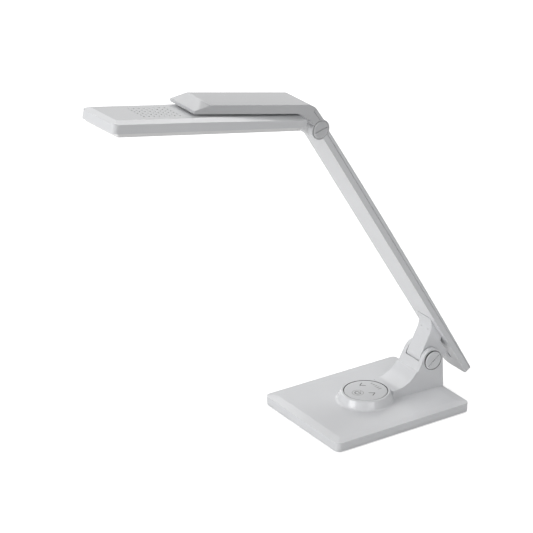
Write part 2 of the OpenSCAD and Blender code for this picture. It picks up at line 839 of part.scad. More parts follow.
module panel_outer() {
  wall_z = panel_floor + rim_h + 0.1;
  front_fall = top_h - crease_h;
  rear_end_h = plateau_h - (panel_rear - panel_bevel - ramp_x) * sin(rear_drop);
  union() {
    difference() {
      translate([0, 0, wall_z]) linear_extrude(height = plateau_h + 1 - wall_z) panel_plan(0);
      top_cut(-panel_front - cut, plateau_x, top_h, 0);
      top_cut(plateau_x, ramp_x + cut, top_h, -atan(plateau_rise / ramp_len));
      top_cut(ramp_x, panel_rear + cut, plateau_h, rear_drop);
      side_bevel_cut(-panel_front - cut, ramp_x + 0.2, top_h, 0, front_fall);
      side_bevel_cut(ramp_x, panel_rear + cut, plateau_h, rear_drop, rear_bevel_drop);
      end_bevel_cut(-panel_front, -1, top_h, front_fall);
      end_bevel_cut(panel_rear, 1, rear_end_h, rear_bevel_drop);
    }
    translate([0, 0, wall_z + 8]) cylinder(h = swivel_boss_h - wall_z - 8, r = swivel_boss_r);
  }
}

// Hollow under the top: low round the edge, higher in the middle
module panel_hollow() {
  wall_z = panel_floor + rim_h + 0.1 - cut;
  in_bevel = panel_bevel + 1;
  translate([0, 0, wall_z]) {
    linear_extrude(height = edge_roof - wall_z) panel_plan(panel_wall);
    linear_extrude(height = front_roof - wall_z)
      plate_between(-panel_front + in_bevel, plateau_x - 1, panel_w - 2 * in_bevel, 2);
    linear_extrude(height = rear_roof - wall_z)
      plate_between(plateau_x - 12, panel_rear - in_bevel, panel_w - 2 * in_bevel, 2);
  }
}

module panel_housing() {
  color(white) in_panel() difference() {
    panel_outer();
    difference() {
      panel_hollow();
      for (p = board_posts) translate([p[0], p[1], board_z]) cylinder(h = 20, r = 3);
    }
    for (p = board_posts) translate([p[0], p[1], board_z - cut])
      cylinder(h = 1.4 + cut, r = screw_r + thread_fit);
    vent_holes();
    cylinder(h = 60, r = post_r + fit);
  }
}

module vent_holes() {
  first = plateau_x - 4.5;                // nearest column to the ramp
  for (i = [0 : 7], j = [0 : 5])
    translate([first - i * vent_pitch_x, (j - 2.5) * vent_pitch_y, led_z + 2])
      cylinder(h = 20, r = vent_r, $fn = 24);
}

module led_board() {
  color(steel) in_panel() difference() {
    translate([led_mid - led_len / 2, -led_wid / 2, led_z]) cube([led_len, led_wid, board_t]);
    for (p = board_posts) translate([p[0], p[1], led_z - cut]) cylinder(h = 5, r = screw_r + gap);
  }
}

module led_chips() {
  color([0.95, 0.87, 0.45]) in_panel() for (i = [0 : 11], j = [-1 : 1])
    translate([led_mid + (i - 5.5) * chip_pitch - 1.4, j * 13 - 1.4, led_z - 0.8]) cube([2.8, 2.8, 0.8]);
}

module board_screws() {
  color(steel) in_panel() for (p = board_posts) translate([p[0], p[1], led_z - 1.2]) {
    cylinder(h = 1.2, r = head_r);
    cylinder(h = 1.2 + board_t + 1.3, r = screw_r);
  }
}

// Slopes under the outer edge of the light rim, on all four sides
module rim_chamfer() {
  front = -panel_front + frame_front;
  rear = panel_rear - frame_rear;
  side = panel_w / 2 - frame_in;
  big = 300;
  translate([front, -big / 2, panel_floor + frame_chamfer]) rotate([0, 45, 0])
    translate([-big, 0, -big]) cube([big, big, big]);
  translate([rear, -big / 2, panel_floor + frame_chamfer]) rotate([0, -45, 0])
    translate([0, 0, -big]) cube([big, big, big]);
  for (s = [-1, 1]) translate([-big / 2, s * side, panel_floor + frame_chamfer])
    rotate([s * 45, 0, 0]) translate([-big / 2, s > 0 ? 0 : -big, -big]) cube([2 * big, big, big]);
}

// White rim that shows below the walls, with a flange closing the bottom inside them
module panel_frame() {
  h = rim_h + 0.1;
  flange = 1.2;
  inner = 4;
  color(milky) in_panel() difference() {
    union() {
      difference() {
        translate([0, 0, panel_floor]) linear_extrude(height = h)
          plate_between(-panel_front + frame_front, panel_rear - frame_rear,
            panel_w - 2 * frame_in, 3);
        rim_chamfer();
      }
      translate([0, 0, panel_floor + h - 0.01]) linear_extrude(height = flange + 0.01)
        panel_plan(panel_wall + 0.1);
    }
    translate([0, 0, panel_floor - cut]) linear_extrude(height = h + 4 * cut)
      plate_between(-panel_front + frame_front + inner, panel_rear - frame_rear - inner,
        panel_w - 2 * frame_in - 2 * inner, 3);
  }
}

module light_diffuser() {
  color(milky) in_panel() translate([0, 0, panel_floor + 0.4]) linear_extrude(height = 2)
    plate_between(-panel_front + frame_front + 4, panel_rear - frame_rear - 4,
      panel_w - 2 * frame_in - 8, 3);
}

base_pad();
base_bottom();
base_cover();
base_screws();
ballast_plate();
inlet_board();
usb_inlet();
control_board();
touch_springs();
touch_disc();
lower_pin();
lower_washers();
lower_caps();
arm_bracket();
bracket_screws();
arm_front_shell();
arm_rear_shell();
arm_bar();
arm_screws();
arm_loom();
upper_pin();
upper_washers();
upper_caps();
hood_shell();
hood_rear_cover();
hood_cover();
hood_screws();
swivel_washer();
swivel_clip();
swivel_post();
panel_housing();
led_board();
led_chips();
board_screws();
panel_frame();
light_diffuser();
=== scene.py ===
# %% [markdown]
# A folding LED desk lamp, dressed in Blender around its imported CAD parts.
# The solids bring every shape that carries, turns or closes something. This script adds
# what a solid does not hold: moulded plastic with its fine grain, the small radius that
# every moulded edge has, the printed keys of the touch disc, the light, and the camera.
# Lengths are in millimetres where a name or a comment says so, and in metres otherwise.

# %% Load the frame
import json
import math

import bmesh
import bpy
import numpy as np
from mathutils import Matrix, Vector


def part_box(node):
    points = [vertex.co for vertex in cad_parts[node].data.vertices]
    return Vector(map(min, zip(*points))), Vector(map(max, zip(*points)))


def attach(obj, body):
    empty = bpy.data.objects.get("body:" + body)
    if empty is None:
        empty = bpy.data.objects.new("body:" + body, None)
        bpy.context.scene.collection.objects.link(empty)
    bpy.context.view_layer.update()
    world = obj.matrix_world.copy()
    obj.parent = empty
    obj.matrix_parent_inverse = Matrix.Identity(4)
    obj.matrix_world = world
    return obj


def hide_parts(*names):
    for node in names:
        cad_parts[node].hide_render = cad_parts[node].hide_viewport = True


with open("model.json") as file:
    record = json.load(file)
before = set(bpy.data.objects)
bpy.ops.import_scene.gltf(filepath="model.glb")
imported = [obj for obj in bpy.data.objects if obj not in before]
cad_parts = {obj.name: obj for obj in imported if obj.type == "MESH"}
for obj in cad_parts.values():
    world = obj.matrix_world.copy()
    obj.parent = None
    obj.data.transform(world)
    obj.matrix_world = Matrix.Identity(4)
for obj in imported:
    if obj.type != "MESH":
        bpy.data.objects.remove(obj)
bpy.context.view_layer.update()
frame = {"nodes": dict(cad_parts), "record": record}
NODES = frame["nodes"]
MM = 0.001
BEHAVIOUR = frame["record"]["behaviour"]
JOINTS = {joint["name"]: joint for joint in BEHAVIOUR["joints"]}
SLOT_OF = {row["node"]: row["material_slot"] for row in frame["record"]["subparts"]}

# %% [markdown]
# The camera comes first. A long lens far away
# gives the calm product view, where upright edges stay almost parallel. The place below
# was worked out from the corners of the base and the two hinge axes, so the lamp falls on
# the same pixels as in the picture that it follows.

# %% Camera
EYE = Vector((-1.4320, -1.9523, 1.2473))
TURN = math.radians(-33.62)
RISE = math.radians(23.96)
FOCAL_PIXELS = 2431.0
IMAGE_PIXELS = 533.0
HALF_PIXEL = 0.5 / IMAGE_PIXELS

lens = bpy.data.cameras.new("product_lens")
lens.sensor_width = 36.0
lens.lens = FOCAL_PIXELS * lens.sensor_width / IMAGE_PIXELS
lens.clip_start = 0.05
lens.clip_end = 60.0
lens.shift_x = -HALF_PIXEL
lens.shift_y = HALF_PIXEL
camera = bpy.data.objects.new("camera", lens)
bpy.context.scene.collection.objects.link(camera)
back = Vector((math.sin(TURN) * math.cos(RISE), -math.cos(TURN) * math.cos(RISE), math.sin(RISE)))
camera.location = EYE
camera.rotation_mode = "QUATERNION"
camera.rotation_quaternion = back.to_track_quat("Z", "Y")
bpy.context.scene.camera = camera
bpy.context.scene.view_settings.view_transform = "Standard"
print("camera: lens", round(lens.lens, 1), "mm at", [round(c, 3) for c in EYE], "m")

# %% [markdown]
# Plastic looks like plastic because of three small things: the mould's spark-eroded grain,
# a colour that drifts a little over a large face, and edges that are never quite sharp.
# Each is used by several finishes, so each is a node group with named inputs, built once.

# %% Helpers for node groups
def new_group(name, inputs, outputs):
    """A shader node group with typed, named sockets. Returns the group and its two end nodes."""
    group = bpy.data.node_groups.new(name, "ShaderNodeTree")
    for label, kind, value in inputs:
        socket = group.interface.new_socket(name=label, in_out="INPUT", socket_type=kind)
        if value is not None:
            socket.default_value = value
    for label, kind in outputs:
        group.interface.new_socket(name=label, in_out="OUTPUT", socket_type=kind)
    start = group.nodes.new("NodeGroupInput")
    end = group.nodes.new("NodeGroupOutput")
    return group, start, end


def node(tree, kind, **settings):
    """A node of that kind, with each setting written to the property of that name."""
    made = tree.nodes.new(kind)
    for key, value in settings.items():
        setattr(made, key, value)
    return made


def math_node(tree, operation, a, b, clamp=False):
    """One Math node; a and b are sockets or plain numbers."""
    made = node(tree, "ShaderNodeMath", operation=operation, use_clamp=clamp)
    for index, value in enumerate((a, b)):
        if hasattr(value, "is_output"):
            tree.links.new(value, made.inputs[index])
        else:
            made.inputs[index].default_value = value
    return made.outputs[0]


def mix_colour(tree, factor, a, b):
    """A colour mix of a toward b by the factor; each may be a socket or a value."""
    made = node(tree, "ShaderNodeMix", data_type="RGBA", clamp_factor=True)
    for socket, value in ((made.inputs[0], factor), (made.inputs[6], a), (made.inputs[7], b)):
        if hasattr(value, "is_output"):
            tree.links.new(value, socket)
        else:
            socket.default_value = value
    return made.outputs[2]


print("helpers: new_group, node, math_node, mix_colour")

# %% [markdown]
# The grain of a mould is a mix of a very fine noise and slightly coarser cells. Both are
# read in metres from Object coordinates, so the grain keeps its real size on every piece:
# under half a millimetre on the shells. A broad noise carries the drift of the colour,
# and a fine one, the speck, varies the gloss.

# %% Group: moulded grain
COARSE_SHARE = 0.6
COARSE_SCALE = 0.45
SPECK_SCALE = 900.0


def build_grain():
    """height = fine noise + COARSE_SHARE * coarse cells; drift and speck are plain noises."""
    group, start, end = new_group(
        "moulded_grain",
        [("Grain size mm", "NodeSocketFloat", 0.35), ("Drift size mm", "NodeSocketFloat", 45.0)],
        [("Height", "NodeSocketFloat"), ("Drift", "NodeSocketFloat"), ("Speck", "NodeSocketFloat")],
    )
    place = node(group, "ShaderNodeTexCoord").outputs["Object"]
    scale = math_node(group, "DIVIDE", 1000.0, start.outputs[0])
    fine = node(group, "ShaderNodeTexNoise", noise_dimensions="3D")
    fine.inputs["Detail"].default_value = 3.0
    fine.inputs["Roughness"].default_value = 0.62
    group.links.new(place, fine.inputs["Vector"])
    group.links.new(scale, fine.inputs["Scale"])
    coarse = node(group, "ShaderNodeTexVoronoi", feature="SMOOTH_F1")
    coarse.inputs["Smoothness"].default_value = 0.7
    group.links.new(place, coarse.inputs["Vector"])
    group.links.new(math_node(group, "MULTIPLY", scale, COARSE_SCALE), coarse.inputs["Scale"])
    height = math_node(group, "ADD", fine.outputs["Fac"],
                       math_node(group, "MULTIPLY", coarse.outputs["Distance"], COARSE_SHARE))
    broad = node(group, "ShaderNodeTexNoise", noise_dimensions="3D")
    broad.inputs["Detail"].default_value = 2.0
    group.links.new(place, broad.inputs["Vector"])
    group.links.new(math_node(group, "DIVIDE", 1000.0, start.outputs[1]), broad.inputs["Scale"])
    speck = node(group, "ShaderNodeTexNoise", noise_dimensions="3D")
    speck.inputs["Detail"].default_value = 1.0
    group.links.new(place, speck.inputs["Vector"])
    speck.inputs["Scale"].default_value = SPECK_SCALE
    group.links.new(height, end.inputs[0])
    group.links.new(broad.outputs["Fac"], end.inputs[1])
    group.links.new(speck.outputs["Fac"], end.inputs[2])
    return group


GRAIN = build_grain()
print("group:", GRAIN.name, "with", len(GRAIN.nodes), "nodes")

# %% [markdown]
# A moulded edge has a radius of half a millimetre or so. The Bevel node bends the normal
# near an edge as if that radius were there, which catches the same thin highlight. The
# angle between the bent and the true normal is also the edge mask: where it is large, the
# colour is made a little brighter, partly for wear and partly as a painted highlight on the edge.

# %% Group: soft edge
def build_soft_edge():
    """edge = clamp((1 - dot(bent normal, true normal)) * sharpness), 0 on faces and 1 on edges."""
    group, start, end = new_group(
        "soft_edge",
        [("Radius", "NodeSocketFloat", 0.0006), ("Sharpness", "NodeSocketFloat", 6.0)],
        [("Normal", "NodeSocketVector"), ("Edge", "NodeSocketFloat")],
    )
    bevel = node(group, "ShaderNodeBevel", samples=6)
    group.links.new(start.outputs[0], bevel.inputs["Radius"])
    true = node(group, "ShaderNodeNewGeometry").outputs["Normal"]
    dot = node(group, "ShaderNodeVectorMath", operation="DOT_PRODUCT")
    group.links.new(bevel.outputs[0], dot.inputs[0])
    group.links.new(true, dot.inputs[1])
    bend = math_node(group, "SUBTRACT", 1.0, dot.outputs["Value"])
    edge = math_node(group, "MULTIPLY", bend, start.outputs[1], clamp=True)
    group.links.new(bevel.outputs[0], end.inputs[0])
    group.links.new(edge, end.inputs[1])
    return group


SOFT_EDGE = build_soft_edge()
print("group:", SOFT_EDGE.name)

# %% [markdown]
# Dust and fine hairline scratches show on any lamp that is used. Scratches are a noise
# stretched a hundredfold along one direction and cut to its crests; dust settles on faces
# that look up, so its mask is the upward part of the normal times a blotchy noise.

# %% Group: use marks
CREST_FROM = 0.68
CREST_GAIN = 6.0


def build_marks():
    """scratch = crests of a stretched noise; dust = blotches * max(0, normal's z)."""
    group, start, end = new_group(
        "use_marks",
        [("Amount", "NodeSocketFloat", 1.0)],
        [("Scratch", "NodeSocketFloat"), ("Dust", "NodeSocketFloat")],
    )
    place = node(group, "ShaderNodeTexCoord").outputs["Object"]
    stretch = node(group, "ShaderNodeMapping")
    stretch.inputs["Rotation"].default_value = (0.4, 0.7, 1.1)
    stretch.inputs["Scale"].default_value = (900.0, 9.0, 60.0)
    group.links.new(place, stretch.inputs["Vector"])
    hair = node(group, "ShaderNodeTexNoise")
    hair.inputs["Scale"].default_value = 1.0
    hair.inputs["Detail"].default_value = 2.0
    group.links.new(stretch.outputs[0], hair.inputs["Vector"])
    crest = math_node(group, "SUBTRACT", hair.outputs["Fac"], CREST_FROM, clamp=True)
    scratch = math_node(group, "MULTIPLY", crest, CREST_GAIN, clamp=True)
    scratch = math_node(group, "MULTIPLY", scratch, start.outputs[0])
    blotch = node(group, "ShaderNodeTexNoise")
    blotch.inputs["Scale"].default_value = 55.0
    blotch.inputs["Detail"].default_value = 6.0
    group.links.new(place, blotch.inputs["Vector"])
    up = node(group, "ShaderNodeSeparateXYZ")
    group.links.new(node(group, "ShaderNodeNewGeometry").outputs["Normal"], up.inputs[0])
    lying = math_node(group, "MAXIMUM", up.outputs[2], 0.0)
    dust = math_node(group, "MULTIPLY", lying, blotch.outputs["Fac"])
    dust = math_node(group, "MULTIPLY", dust, start.outputs[0])
    group.links.new(scratch, end.inputs[0])
    group.links.new(dust, end.inputs[1])
    return group


MARKS = build_marks()
print("group:", MARKS.name)

# %% [markdown]
# A gap that is under a millimetre wide reads as a thin dark line, because hardly any light
# comes out of it. That shade is painted into the colour here. The gaps are round, so each
# painted line is found as a ring: the places whose distance from an axis is close to the ring's radius.

# %% Group: painted gap shade
LYING = (1.0, 1.0, 0.0)
UPRIGHT = (1.0, 0.0, 1.0)


def build_dark_gap():
    """line = 1 where |distance from the axis - radius| < half width, and 0 elsewhere: a ring of painted
    shade at a gap. Plane is 1 in the two directions that the distance is taken in, and 0 along the axis."""
    group, start, end = new_group(
        "painted_gap_shade",
        [("Centre", "NodeSocketVector", (0.0, 0.0, 0.0)), ("Plane", "NodeSocketVector", LYING),
         ("Radius", "NodeSocketFloat", 0.01), ("Half width", "NodeSocketFloat", 0.0004)],
        [("Line", "NodeSocketFloat")],
    )
    away = node(group, "ShaderNodeVectorMath", operation="SUBTRACT")
    group.links.new(node(group, "ShaderNodeTexCoord").outputs["Object"], away.inputs[0])
    group.links.new(start.outputs["Centre"], away.inputs[1])
    flat = node(group, "ShaderNodeVectorMath", operation="MULTIPLY")
    group.links.new(away.outputs["Vector"], flat.inputs[0])
    group.links.new(start.outputs["Plane"], flat.inputs[1])
    distance = node(group, "ShaderNodeVectorMath", operation="LENGTH")
    group.links.new(flat.outputs["Vector"], distance.inputs[0])
    off = math_node(group, "SUBTRACT", distance.outputs["Value"], start.outputs["Radius"])
    off = math_node(group, "ABSOLUTE", off, 0.0)
    group.links.new(math_node(group, "LESS_THAN", off, start.outputs["Half width"]), end.inputs["Line"])
    return group


GAP_SHADE = build_dark_gap()
print("group:", GAP_SHADE.name)

# %% [markdown]
# Every finish starts from the same plan: the base colour drifts a little and brightens at
# edges, partly as wear and partly as a painted edge highlight, roughness follows the grain and
# the scratches, and the grain's height goes through a Bump node that sits on top of the
# soft-edge normal. Numbers that are the same all over go straight into the shader's own sockets.

# %% Finish builder
DRIFT_SHARE = 0.965
# share of the edge colour: wear, and a painted highlight along the edges
EDGE_WEAR_AND_HIGHLIGHT_SHARE = 0.5
DUST_SHARE = 0.05
DUST = (0.62, 0.60, 0.56, 1.0)
# grey of the painted shade in the narrow round gaps
GAP_SHADE_GREY = 0.30
SPECK_RANGE = (0.3, 0.7)
SCRATCH_ROUGHNESS = 0.12
BUMP_STRENGTH = 0.35
COAT_ROUGHNESS = 0.08


def rgba(grey, tint=(1.0, 1.0, 1.0)):
    """A grey written as a screen value, turned into the linear colour that Blender uses."""
    lin = ((grey + 0.055) / 1.055) ** 2.4 if grey > 0.04045 else grey / 12.92
    return (lin * tint[0], lin * tint[1], lin * tint[2], 1.0)


def finish(name, colour, worn_and_lit, rough, grain_mm, grain_depth_mm, edge_mm,
           metallic=0.0, coat=0.0, specular=0.5, gaps=()):
    """A Principled material: colour and the edge colour after it are two linear colours, the edge colour
    being partly wear and partly a painted highlight; rough is (low, high).
    Each gap adds a ring of painted shade: its centre in mm, its plane, its radius and half its width in
    mm."""
    made = bpy.data.materials.new(name)
    made.use_nodes = True
    tree = made.node_tree
    shader = tree.nodes["Principled BSDF"]
    grain = node(tree, "ShaderNodeGroup", node_tree=GRAIN)
    grain.inputs[0].default_value = grain_mm
    edge = node(tree, "ShaderNodeGroup", node_tree=SOFT_EDGE)
    edge.inputs[0].default_value = edge_mm * MM
    use = node(tree, "ShaderNodeGroup", node_tree=MARKS)
    drift = tuple(c * DRIFT_SHARE for c in colour[:3]) + (1.0,)
    body = mix_colour(tree, grain.outputs["Drift"], drift, colour)
    # edge colour: partly wear, partly a painted highlight along the edges
    body = mix_colour(tree, math_node(tree, "MULTIPLY", edge.outputs["Edge"], EDGE_WEAR_AND_HIGHLIGHT_SHARE), body, worn_and_lit)
    body = mix_colour(tree, math_node(tree, "MULTIPLY", use.outputs["Dust"], DUST_SHARE), body, DUST)
    # each gap gets a ring of painted shade
    for centre, plane, radius, half in gaps:
        ring = node(tree, "ShaderNodeGroup", node_tree=GAP_SHADE)
        ring.inputs["Centre"].default_value = tuple(c * MM for c in centre)
        ring.inputs["Plane"].default_value = plane
        ring.inputs["Radius"].default_value = radius * MM
        ring.inputs["Half width"].default_value = half * MM
        body = mix_colour(tree, ring.outputs["Line"], body, rgba(GAP_SHADE_GREY))
    tree.links.new(body, shader.inputs["Base Color"])
    level = node(tree, "ShaderNodeMapRange")
    tree.links.new(grain.outputs["Speck"], level.inputs["Value"])
    for socket, value in zip(("From Min", "From Max", "To Min", "To Max"), SPECK_RANGE + rough):
        level.inputs[socket].default_value = value
    scratched = math_node(tree, "MULTIPLY", use.outputs["Scratch"], SCRATCH_ROUGHNESS)
    scratched = math_node(tree, "ADD", level.outputs["Result"], scratched, clamp=True)
    tree.links.new(scratched, shader.inputs["Roughness"])
    bump = node(tree, "ShaderNodeBump")
    bump.inputs["Strength"].default_value = BUMP_STRENGTH
    bump.inputs["Distance"].default_value = grain_depth_mm * MM
    tree.links.new(grain.outputs["Height"], bump.inputs["Height"])
    tree.links.new(edge.outputs["Normal"], bump.inputs["Normal"])
    tree.links.new(bump.outputs["Normal"], shader.inputs["Normal"])
    shader.inputs["Metallic"].default_value = metallic
    shader.inputs["Coat Weight"].default_value = coat
    shader.inputs["Coat Roughness"].default_value = COAT_ROUGHNESS
    shader.inputs["Specular IOR Level"].default_value = specular
    return made


print("finish builder ready")

# %% [markdown]
# The record names one material slot for each family of pieces. The lamp is white all over,
# a little cool, so the whites differ mostly in gloss: a smooth shell, a painted bracket that
# is a touch rougher, and the lacquered touch disc. Inside there is steel, board and dark
# plastic. In each row the last three numbers are in millimetres: the size of the grain, its
# depth, and the radius of an edge.

# %% Finishes
COOL = (0.99, 1.0, 1.022)
WHITE = rgba(0.905, COOL)
# lighter white for the edges: wear and a painted edge highlight
WHITE_WEAR_AND_HIGHLIGHT = rgba(0.935, COOL)
SHELL_GLOSS = (0.11, 0.17)
disc_low, disc_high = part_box("touch_disc")
DISC_GAP = (tuple((disc_low + disc_high) / 2 / MM), LYING, 24.7, 0.45)
FINISHES = {
    "white_plastic": finish("white_satin_plastic", WHITE, WHITE_WEAR_AND_HIGHLIGHT, SHELL_GLOSS, 0.4, 0.006, 0.7),
    "white_paint": finish("white_bracket_paint", WHITE, WHITE_WEAR_AND_HIGHLIGHT, (0.17, 0.25), 0.9, 0.012, 0.7),
    "gloss_white": finish("gloss_touch_disc", rgba(0.87, COOL), WHITE_WEAR_AND_HIGHLIGHT, (0.16, 0.22),
                          0.5, 0.008, 0.4, coat=0.4, gaps=(DISC_GAP,)),
    "milky_plastic": finish("milky_light_window", rgba(0.965), rgba(0.98), (0.10, 0.16),
                            0.7, 0.01, 0.4),
    "steel": finish("brushed_steel", (0.56, 0.57, 0.59, 1.0), (0.72, 0.72, 0.74, 1.0), (0.24, 0.40),
                    0.5, 0.02, 0.3, metallic=1.0),
    "rubber_pad": finish("non_slip_rubber", (0.018, 0.018, 0.02, 1.0), (0.04, 0.04, 0.042, 1.0),
                         (0.72, 0.86), 1.2, 0.15, 0.4, specular=0.3),
    "dark_plastic": finish("dark_washer_plastic", (0.02, 0.02, 0.022, 1.0), (0.05, 0.05, 0.055, 1.0),
                           (0.42, 0.55), 0.4, 0.02, 0.3),
    "loom_rubber": finish("wire_loom", (0.014, 0.014, 0.016, 1.0), (0.03, 0.03, 0.034, 1.0),
                          (0.5, 0.62), 0.6, 0.05, 0.3),
    "circuit_board": finish("green_circuit_board", (0.02, 0.10, 0.05, 1.0), (0.30, 0.30, 0.16, 1.0),
                            (0.34, 0.46), 0.8, 0.03, 0.2),
    "board_metal": finish("led_board_metal", (0.70, 0.71, 0.72, 1.0), (0.82, 0.82, 0.83, 1.0),
                          (0.34, 0.46), 0.4, 0.01, 0.2, metallic=0.9),
    "led_yellow": finish("led_phosphor", (0.85, 0.66, 0.12, 1.0), (0.92, 0.80, 0.40, 1.0),
                         (0.20, 0.30), 0.3, 0.01, 0.2),
}
print("finishes:", ", ".join(sorted(m.name for m in FINISHES.values())))

# %% [markdown]
# A few nodes have a finish of their own. The base and the hood carry rings of painted shade at
# the narrow round gaps at the disc and at the slotted caps. The hood and its caps get a darker
# white than the rest, as painted shade for the lesser light that reaches them. The panel's
# edges are finer, so that the rims of its small vent holes stay crisp.

# %% Put each finish on its nodes
# rings of painted shade at the gaps round the slotted caps
LOWER_CAP_GAP = (tuple(np.array(JOINTS["arm_hinge"]["pos_m"]) / MM), UPRIGHT, 11.05, 0.3)
UPPER_CAP_GAP = (tuple(np.array(JOINTS["head_hinge"]["pos_m"]) / MM), UPRIGHT, 9.85, 0.3)
base_white = finish("base_satin_plastic", WHITE, WHITE_WEAR_AND_HIGHLIGHT, SHELL_GLOSS, 0.4, 0.006, 0.7,
                    gaps=(DISC_GAP, LOWER_CAP_GAP))
vented_white = finish("panel_satin_plastic", WHITE, WHITE_WEAR_AND_HIGHLIGHT, SHELL_GLOSS, 0.4, 0.006, 0.25)
# painted shade: a darker copy of the white for the hood and its caps
hood_shaded_white = finish("hood_painted_shade_plastic", rgba(0.825, COOL), rgba(0.86, COOL), (0.14, 0.22),
                    0.4, 0.01, 0.7, gaps=(UPPER_CAP_GAP,))
OWN_FINISH = {"panel_housing": vented_white}
OWN_FINISH.update(dict.fromkeys(("base_cover", "lower_caps"), base_white))
OWN_FINISH.update(dict.fromkeys(("hood_shell", "hood_rear_cover", "hood_cover", "upper_caps"), hood_shaded_white))
for name, obj in NODES.items():
    obj.data.materials.clear()
    obj.data.materials.append(OWN_FINISH.get(name, FINISHES[SLOT_OF[name]]))
print("dressed", len(NODES), "nodes,", len(OWN_FINISH), "of them with a finish of their own")

# %% [markdown]
# A moulded shell has no sharp edge, and its larger radii show as soft shading from a metre
# away. The frame's solids have them square. So a shell can get a rounded copy: the mesh is
# merged, the edges that a real mould rounds are marked with a weight, and a Bevel modifier
# turns each into an arc. The copy stands in for the solid in the picture, and rides with it.

# %% Rounded copies
MERGE_WITHIN = 2e-6
FLAT_WITHIN = math.radians(0.3)
SMOOTH_UNDER = 25.0
CONVEX_OVER = 15.0
ARC_SEGMENTS = 4


def body_of(name):
    """The body that carries a CAD node, as the record has it."""
    return next(body for body, held in BEHAVIOUR["bodies"].items() if name in held)


def rounded_copy(name, radius_mm, chosen):
    """A copy of a CAD node in which each convex edge that chosen(its ends in mm) picks becomes an
    arc of radius_mm."""
    source = NODES[name]
    mesh = source.data.copy()
    mesh.name = name + "_rounded"
    work = bmesh.new()
    work.from_mesh(mesh)
    bmesh.ops.remove_doubles(work, verts=work.verts, dist=MERGE_WITHIN)
    bmesh.ops.dissolve_limit(work, angle_limit=FLAT_WITHIN, verts=work.verts, edges=work.edges)
    weight = work.edges.layers.float.new("bevel_weight_edge")
    marked = 0
    for edge in work.edges:
        if len(edge.link_faces) != 2:
            continue
        bend = math.degrees(edge.calc_face_angle_signed(0.0))
        edge.smooth = abs(bend) < SMOOTH_UNDER
        if bend >= CONVEX_OVER and chosen(np.array([v.co / MM for v in edge.verts])):
            edge[weight] = 1.0
            marked += 1
    for face in work.faces:
        face.smooth = True
    work.to_mesh(mesh)
    work.free()
    copy = bpy.data.objects.new(name + "_rounded", mesh)
    bpy.context.scene.collection.objects.link(copy)
    round_off = copy.modifiers.new("moulded_radius", "BEVEL")
    round_off.limit_method = "WEIGHT"
    round_off.width = radius_mm * MM
    round_off.segments = ARC_SEGMENTS
    round_off.harden_normals = True
    round_off.use_clamp_overlap = True
    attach(copy, body_of(name))
    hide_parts(name)
    print(name, "rounded:", marked, "edges at", radius_mm, "mm")


print("rounded_copy ready")

# %% [markdown]
# The hood has the largest radius of the lamp, along both long edges of its top and down its
# neck. The edges are picked by their place in the head's own frame, in which the hood lies
# straight: on the outer sides, high enough above the hinge, and not on the crisp tip.

# %% Round the hood
HOOD_RADIUS = 3.0
ON_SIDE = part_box("hood_shell")[1].y / MM - 0.05
TOP_ABOVE = 19.5
TIP_BEYOND = -100.0
FACET_SLOPE = 0.1
HINGE = np.array(JOINTS["head_hinge"]["pos_m"]) / MM
HEAD_TILT = math.atan2(JOINTS["panel_swivel"]["axis"][0], JOINTS["panel_swivel"]["axis"][2])


def in_head(points):
    """Points in mm turned into the head's own frame: along it, across it and above the hinge."""
    away = points - HINGE
    along = away[:, 0] * math.cos(HEAD_TILT) - away[:, 2] * math.sin(HEAD_TILT)
    above = away[:, 0] * math.sin(HEAD_TILT) + away[:, 2] * math.cos(HEAD_TILT)
    return np.stack([along, away[:, 1], above], axis=1)


def hood_edge(ends):
    """True on the long outer edges of the top. The sloping facet of the tip stays crisp."""
    place = in_head(ends)
    outer = np.all(np.abs(place[:, 1]) > ON_SIDE)
    run, rise = np.abs(place[1] - place[0])[[0, 2]]
    facet = place[:, 0].mean() < TIP_BEYOND and rise > FACET_SLOPE * run
    return outer and np.all(place[:, 2] > TOP_ABOVE) and not facet


rounded_copy("hood_shell", HOOD_RADIUS, hood_edge)

# %% [markdown]
# The keys are printed on the touch disc: a power sign in a pale ring, and two arrow heads
# for brighter and darker. A row of small bars beside them stands for the light level. Each
# mark is a thin ribbon of ink: a flat rectangle of a cross-section carried along a path,
# which keeps its width round a curve and ends square.

# %% Ribbons of ink
def put_mesh(name, points, faces, material, body):
    """One new piece from arrays of points (in metres) and faces, riding on a CAD body."""
    mesh = bpy.data.meshes.new(name)
    mesh.from_pydata(np.asarray(points, float).tolist(), [], np.asarray(faces).tolist())
    mesh.materials.append(material)
    mesh.update()
    obj = bpy.data.objects.new(name, mesh)
    bpy.context.scene.collection.objects.link(obj)
    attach(obj, body)
    return obj


def ribbon(path, width, low, high):
    """Corner k of the section at path point p is p + side(k) * width / 2 * n, where n is the
    normal of the path at p, at height low or high. Returns points in mm and quads."""
    path = np.asarray(path, float)
    step = np.gradient(path, axis=0)
    step /= np.linalg.norm(step, axis=1, keepdims=True)
    normal = np.stack([-step[:, 1], step[:, 0]], axis=1)
    side = np.array([-1.0, 1.0, 1.0, -1.0])
    height = np.array([low, low, high, high])
    flat = path[:, None, :] + side[None, :, None] * normal[:, None, :] * width / 2
    points = np.concatenate([flat, np.broadcast_to(height[None, :, None], flat.shape[:2] + (1,))],
                            axis=2).reshape(-1, 3)
    ring = np.arange(len(path) * 4).reshape(-1, 4)
    around = np.roll(ring, -1, axis=1)
    walls = np.stack([ring[:-1], around[:-1], around[1:], ring[1:]], axis=-1).reshape(-1, 4)
    ends = np.stack([ring[0][::-1], ring[-1]])
    return points, np.concatenate([walls, ends])


def arc(centre, radius, first, last, count=40):
    """count points on a circle round centre, from angle first to last, in degrees."""
    turn = np.radians(np.linspace(first, last, count))
    return np.stack([centre[0] + radius * np.cos(turn), centre[1] + radius * np.sin(turn)], axis=1)


